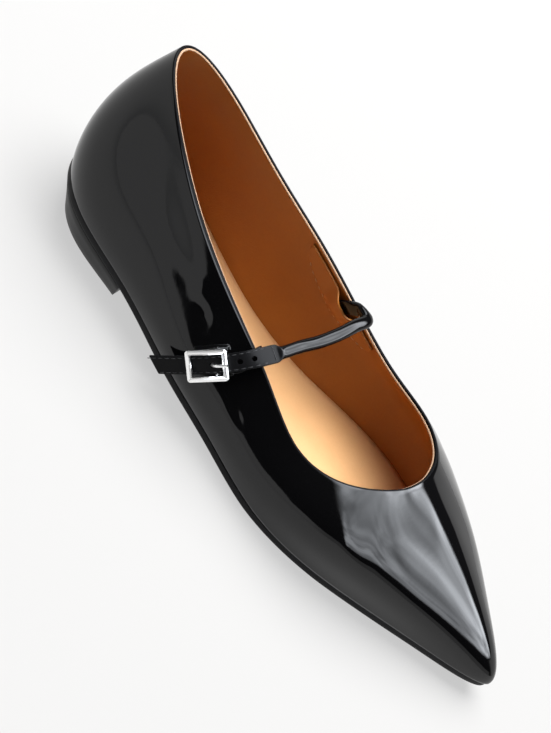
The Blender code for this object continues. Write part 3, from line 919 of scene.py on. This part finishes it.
def tube(name, points, radius, finish, node=None):
    """A round wire along its points."""
    curve = bpy.data.curves.new(name, "CURVE")
    curve.dimensions = "3D"
    curve.bevel_depth = radius
    curve.bevel_resolution = 4
    curve.use_fill_caps = True
    line = curve.splines.new("POLY")
    line.points.add(len(points) - 1)
    for spot, point in zip(line.points, points):
        spot.co = tuple(point) + (1.0,)
    curve.materials.append(finish)
    made = bpy.data.objects.new(name, curve)
    bpy.context.scene.collection.objects.link(made)
    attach(made, "root")
    if node:
        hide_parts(node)


def make_tab(path, held):
    """Leather tab from inside the lateral topline, down the wall and round the low bar."""
    centre, run_b, wide_b, out_b, bar_at, turn_radius = held
    tries = np.arange(0.69, 0.74, 0.0005)
    apart = skin(tries, 1.0)[:, None] - path[None, 8 * STRAP_STEPS : 11 * STRAP_STEPS]
    turn = tries[np.argmin((apart**2).sum(-1).min(1))] - 0.001
    off = GAP + TAB_THICK / 2
    points = []
    for climb in (0.86, 0.93, 0.985):
        points.append(skin(turn, climb) - skin_out(turn, climb) * (WALL + 1.5 * off))
    rim_out = skin_out(turn, 1.0)
    rim = skin(turn, 1.0) - rim_out * WALL / 2
    rim_up = np.cross(rim_out, np.cross(np.array([0.0, 0.0, 1.0]), rim_out))
    rim_up = rim_up / np.linalg.norm(rim_up)
    for part in (-60, -20, 20, 60):
        a = math.radians(part)
        aim = rim_out * math.sin(a) + rim_up * math.cos(a)
        points.append(rim + aim * (WALL / 2 + 1.3 * off))
    for climb, shift in ((0.955, 0.0), (0.88, -0.0015), (0.80, -0.0030)):
        points.append(skin(turn + shift, climb) + skin_out(turn + shift, climb) * 1.5 * off)
    for part in (-140, -100, -60, -20, 20, 60, 90):
        a = math.radians(part)
        points.append(bar_at + (run_b * math.cos(a) + out_b * math.sin(a)) * turn_radius)
    points.append(points[-1] - run_b * 0.10 * BUCKLE_LENGTH - out_b * 0.5 * GAP)
    line = smooth_path(points, 3)
    ones = np.ones(len(line))
    axes = frames_of(line, wide_b)
    sizes = (ones * 0.40 * STRAP_WIDTH, ones * TAB_THICK / 2, ones * 0.3)
    band("tab", line, axes, *sizes, [strap_patent], "buckle_tab", sides=20)


def make_patch():
    """Half-moon lining patch over the strap's sewn end, with its stitched edge."""
    across = 48
    down = 16
    rows = []
    for k in range(across + 1):
        t = 2 * k / across - 1
        turn = PATCH_AT + PATCH_SPREAD * t
        depth = 0.03 + 0.27 * math.sqrt(max(1 - t * t, 0.0))
        row = []
        for j in range(down + 1):
            climb = 0.965 - depth * j / down
            lean = 0.02 - 0.14 * (1 - j / down)
            pocket = math.exp(-(((t - lean) / 0.25) ** 4)) * (1 - (j / down) ** 4)
            inset = WALL + 2.4 * GAP + pocket * (STRAP_THICK + 2 * GAP + 0.30 * ROLL_THICK)
            row.append(skin(turn, climb) - skin_out(turn, climb) * (inset + 0.0004))
        rows.append(row)
    patch = grid_piece("lining_patch", np.array(rows), [patch_tan_painted_shade], False, "strap_patch")
    wall = patch.modifiers.new("thickness", "SOLIDIFY")
    wall.thickness = 0.0008
    wall.offset = 0.0
    spots = []
    runs = []
    outs = []
    edge = np.array(rows)[:, down]
    inner = np.array(rows)[:, down - 2]
    for k in range(4, across - 3, 3):
        run = edge[k + 1] - edge[k - 1]
        run = run / np.linalg.norm(run)
        t = 2 * k / across - 1
        out = -skin_out(PATCH_AT + PATCH_SPREAD * t, 0.8)
        spots.append(edge[k] * 0.6 + inner[k] * 0.4 + out * 0.0004)
        runs.append(run)
        outs.append(out)
    stitches("patch_stitches", spots, runs, outs, tan_thread, 0.0017, 0.00018)


make_upper()
make_lining()
make_sole()
make_heel()
make_sock()
strap_path, strap_axes = make_strap()
held = make_buckle(strap_path, strap_axes)
make_tab(strap_path, held)
make_patch()


# Floor, light and camera
floor_finish = Finish("studio_floor")
floor_finish.set(Base_Color=(0.175, 0.175, 0.175), Roughness=0.9, IOR=1.1)
floor_finish.set(Emission_Color=(1.0, 1.0, 1.0), Emission_Strength=0.55)
bpy.ops.mesh.primitive_plane_add(size=60.0, location=(0.0, 0.0, -0.0003))
floor = bpy.context.object
floor.name = "floor"
floor.data.materials.append(floor_finish.material)


# Strengths of the light, of the room's plain light, and of what the camera and the patent see
KEY = 8.9
KEY_SIDE = 1.6
AMBIENT = 0.26
BACKDROP = 0.62
NEAR_PAPER = 0.88
FAR_PAPER = 0.80
DARK = 0.004


def key_light():
    """A soft panel over the shoe that isn't mirrored in the patent."""
    lamp = bpy.data.lights.new("key", "AREA")
    lamp.shape = "RECTANGLE"
    lamp.size = KEY_SIDE
    lamp.size_y = KEY_SIDE
    lamp.energy = math.pi * KEY_SIDE * KEY_SIDE * KEY
    lamp.color = (1.0, 0.99, 0.975)
    spot = Vector((0.54, 0.16, 1.40))
    made = bpy.data.objects.new("key", lamp)
    made.location = spot
    made.rotation_euler = (Vector((0.0, -0.09, 0.0)) - spot).to_track_quat("-Z", "Y").to_euler()
    made.visible_camera = False
    made.visible_glossy = False
    bpy.context.scene.collection.objects.link(made)


def studio():
    """The room that the patent mirrors: overhead cloth, far paper and near paper, dark between."""
    world = bpy.data.worlds.new("studio")
    bpy.context.scene.world = world
    world.use_nodes = True
    tree = world.node_tree
    back = tree.nodes["Background"]

    def made(kind, values=None, settings=None):
        return add_node(tree, kind, settings, values)

    def haze(vector, **values):
        noise = made("ShaderNodeTexNoise", dict(values, Vector=vector))
        return Dial(noise.outputs["Fac"])

    def beside(at_x, at_y, slope):
        """Distance in the overhead plane from a line of a slope through a spot."""
        size = math.hypot(1.0, slope)
        side = (flat_y - at_y) * (1 / size) - (flat_x - at_x) * (slope / size)
        return side.maths("ABSOLUTE")

    way = made("ShaderNodeTexCoord").outputs["Generated"]
    split = made("ShaderNodeSeparateXYZ", {"Vector": way})
    x, y, z = [Dial(split.outputs[k]) for k in ("X", "Y", "Z")]
    up = z.at_least(0.06)
    flat_x = x / up
    flat_y = y / up
    spot = made("ShaderNodeCombineXYZ", {"X": flat_x, "Y": flat_y, "Z": 0.0}).outputs[0]
    cloud = haze(spot, Scale=1.9, Detail=2.5, Distortion=0.3)
    skew = {"Vector": spot, "Rotation": (0.0, 0.0, 0.9), "Scale": (3.4, 1.1, 1.0)}
    fold = haze(made("ShaderNodeMapping", skew).outputs[0], Scale=1.0, Detail=2.0)
    cloud = fade(cloud, 0.28, 0.68) * 0.75 + 0.45
    fold = fade(fold, 0.25, 0.60) * 0.30 + 0.70
    bar = 1.0 - fade(beside(0.28, -0.80, 0.22), 0.09, 0.0) * fade(flat_x, 0.0, 0.2) * 0.42
    lower = fade(flat_y, -0.80, -0.95)
    bar = bar * (1.0 - fade(beside(-0.22, -1.00, 1.9), 0.11, 0.0) * lower * 0.30)
    cloth = fade(flat_x - flat_y, -0.80, -0.58) * fade(flat_x, 0.95, 0.78)
    cloth = cloth * fade(flat_y, -2.3, -1.9) * fade(flat_y, 1.8, 1.4) * fade(z, 0.15, 0.25)
    tilt = fade(flat_x, -0.9, 0.6)
    cloth = cloth * (tilt * 8.6 + 5.8) * cloud * fold * bar
    far = fade(z, 0.40, 0.36) * fade(x, 0.05, 0.25) * FAR_PAPER
    edge = haze(way, Scale=6.0, Detail=1.0)
    rear = fade(y, 0.02, 0.14) * 0.10
    front = 1.0 - fade(y, -0.10, -0.45) * 0.40
    near = fade(z - edge * 0.06 - rear, 0.115, 0.095) * fade(x, 0.05, -0.10) * NEAR_PAPER * front
    room = cloth + far + near + DARK
    rays = made("ShaderNodeLightPath")
    seen = Dial(rays.outputs["Is Camera Ray"])
    mirrored = Dial(rays.outputs["Is Glossy Ray"])
    plain = (1.0 - seen) * (1.0 - mirrored)
    level = seen * BACKDROP + mirrored * room + plain * AMBIENT
    cool = mirrored * cloth.at_most(1.0)
    colours = {0: cool, 6: (1.0, 1.0, 1.0), 7: (0.90, 0.94, 1.0)}
    tint = made("ShaderNodeMix", colours, {"data_type": "RGBA"})
    feed(tree, back.inputs["Color"], tint.outputs[2])
    feed(tree, back.inputs["Strength"], level)


key_light()
studio()
bpy.context.scene.view_settings.view_transform = "Standard"

lens = bpy.data.cameras.new("camera")
lens.sensor_width = 36.0
lens.lens = LENS
lens.clip_start = 0.01
camera = bpy.data.objects.new("camera", lens)
bpy.context.scene.collection.objects.link(camera)
look = (AIM - EYE).normalized()
level = look.cross(Vector((0.0, 0.0, 1.0))).normalized()
high = level.cross(look)
top = high * math.cos(ROLL) + level * math.sin(ROLL)
turned = Matrix((look.cross(top), top, -look)).transposed().to_4x4()
camera.matrix_world = Matrix.Translation(EYE) @ turned
bpy.context.scene.camera = camera
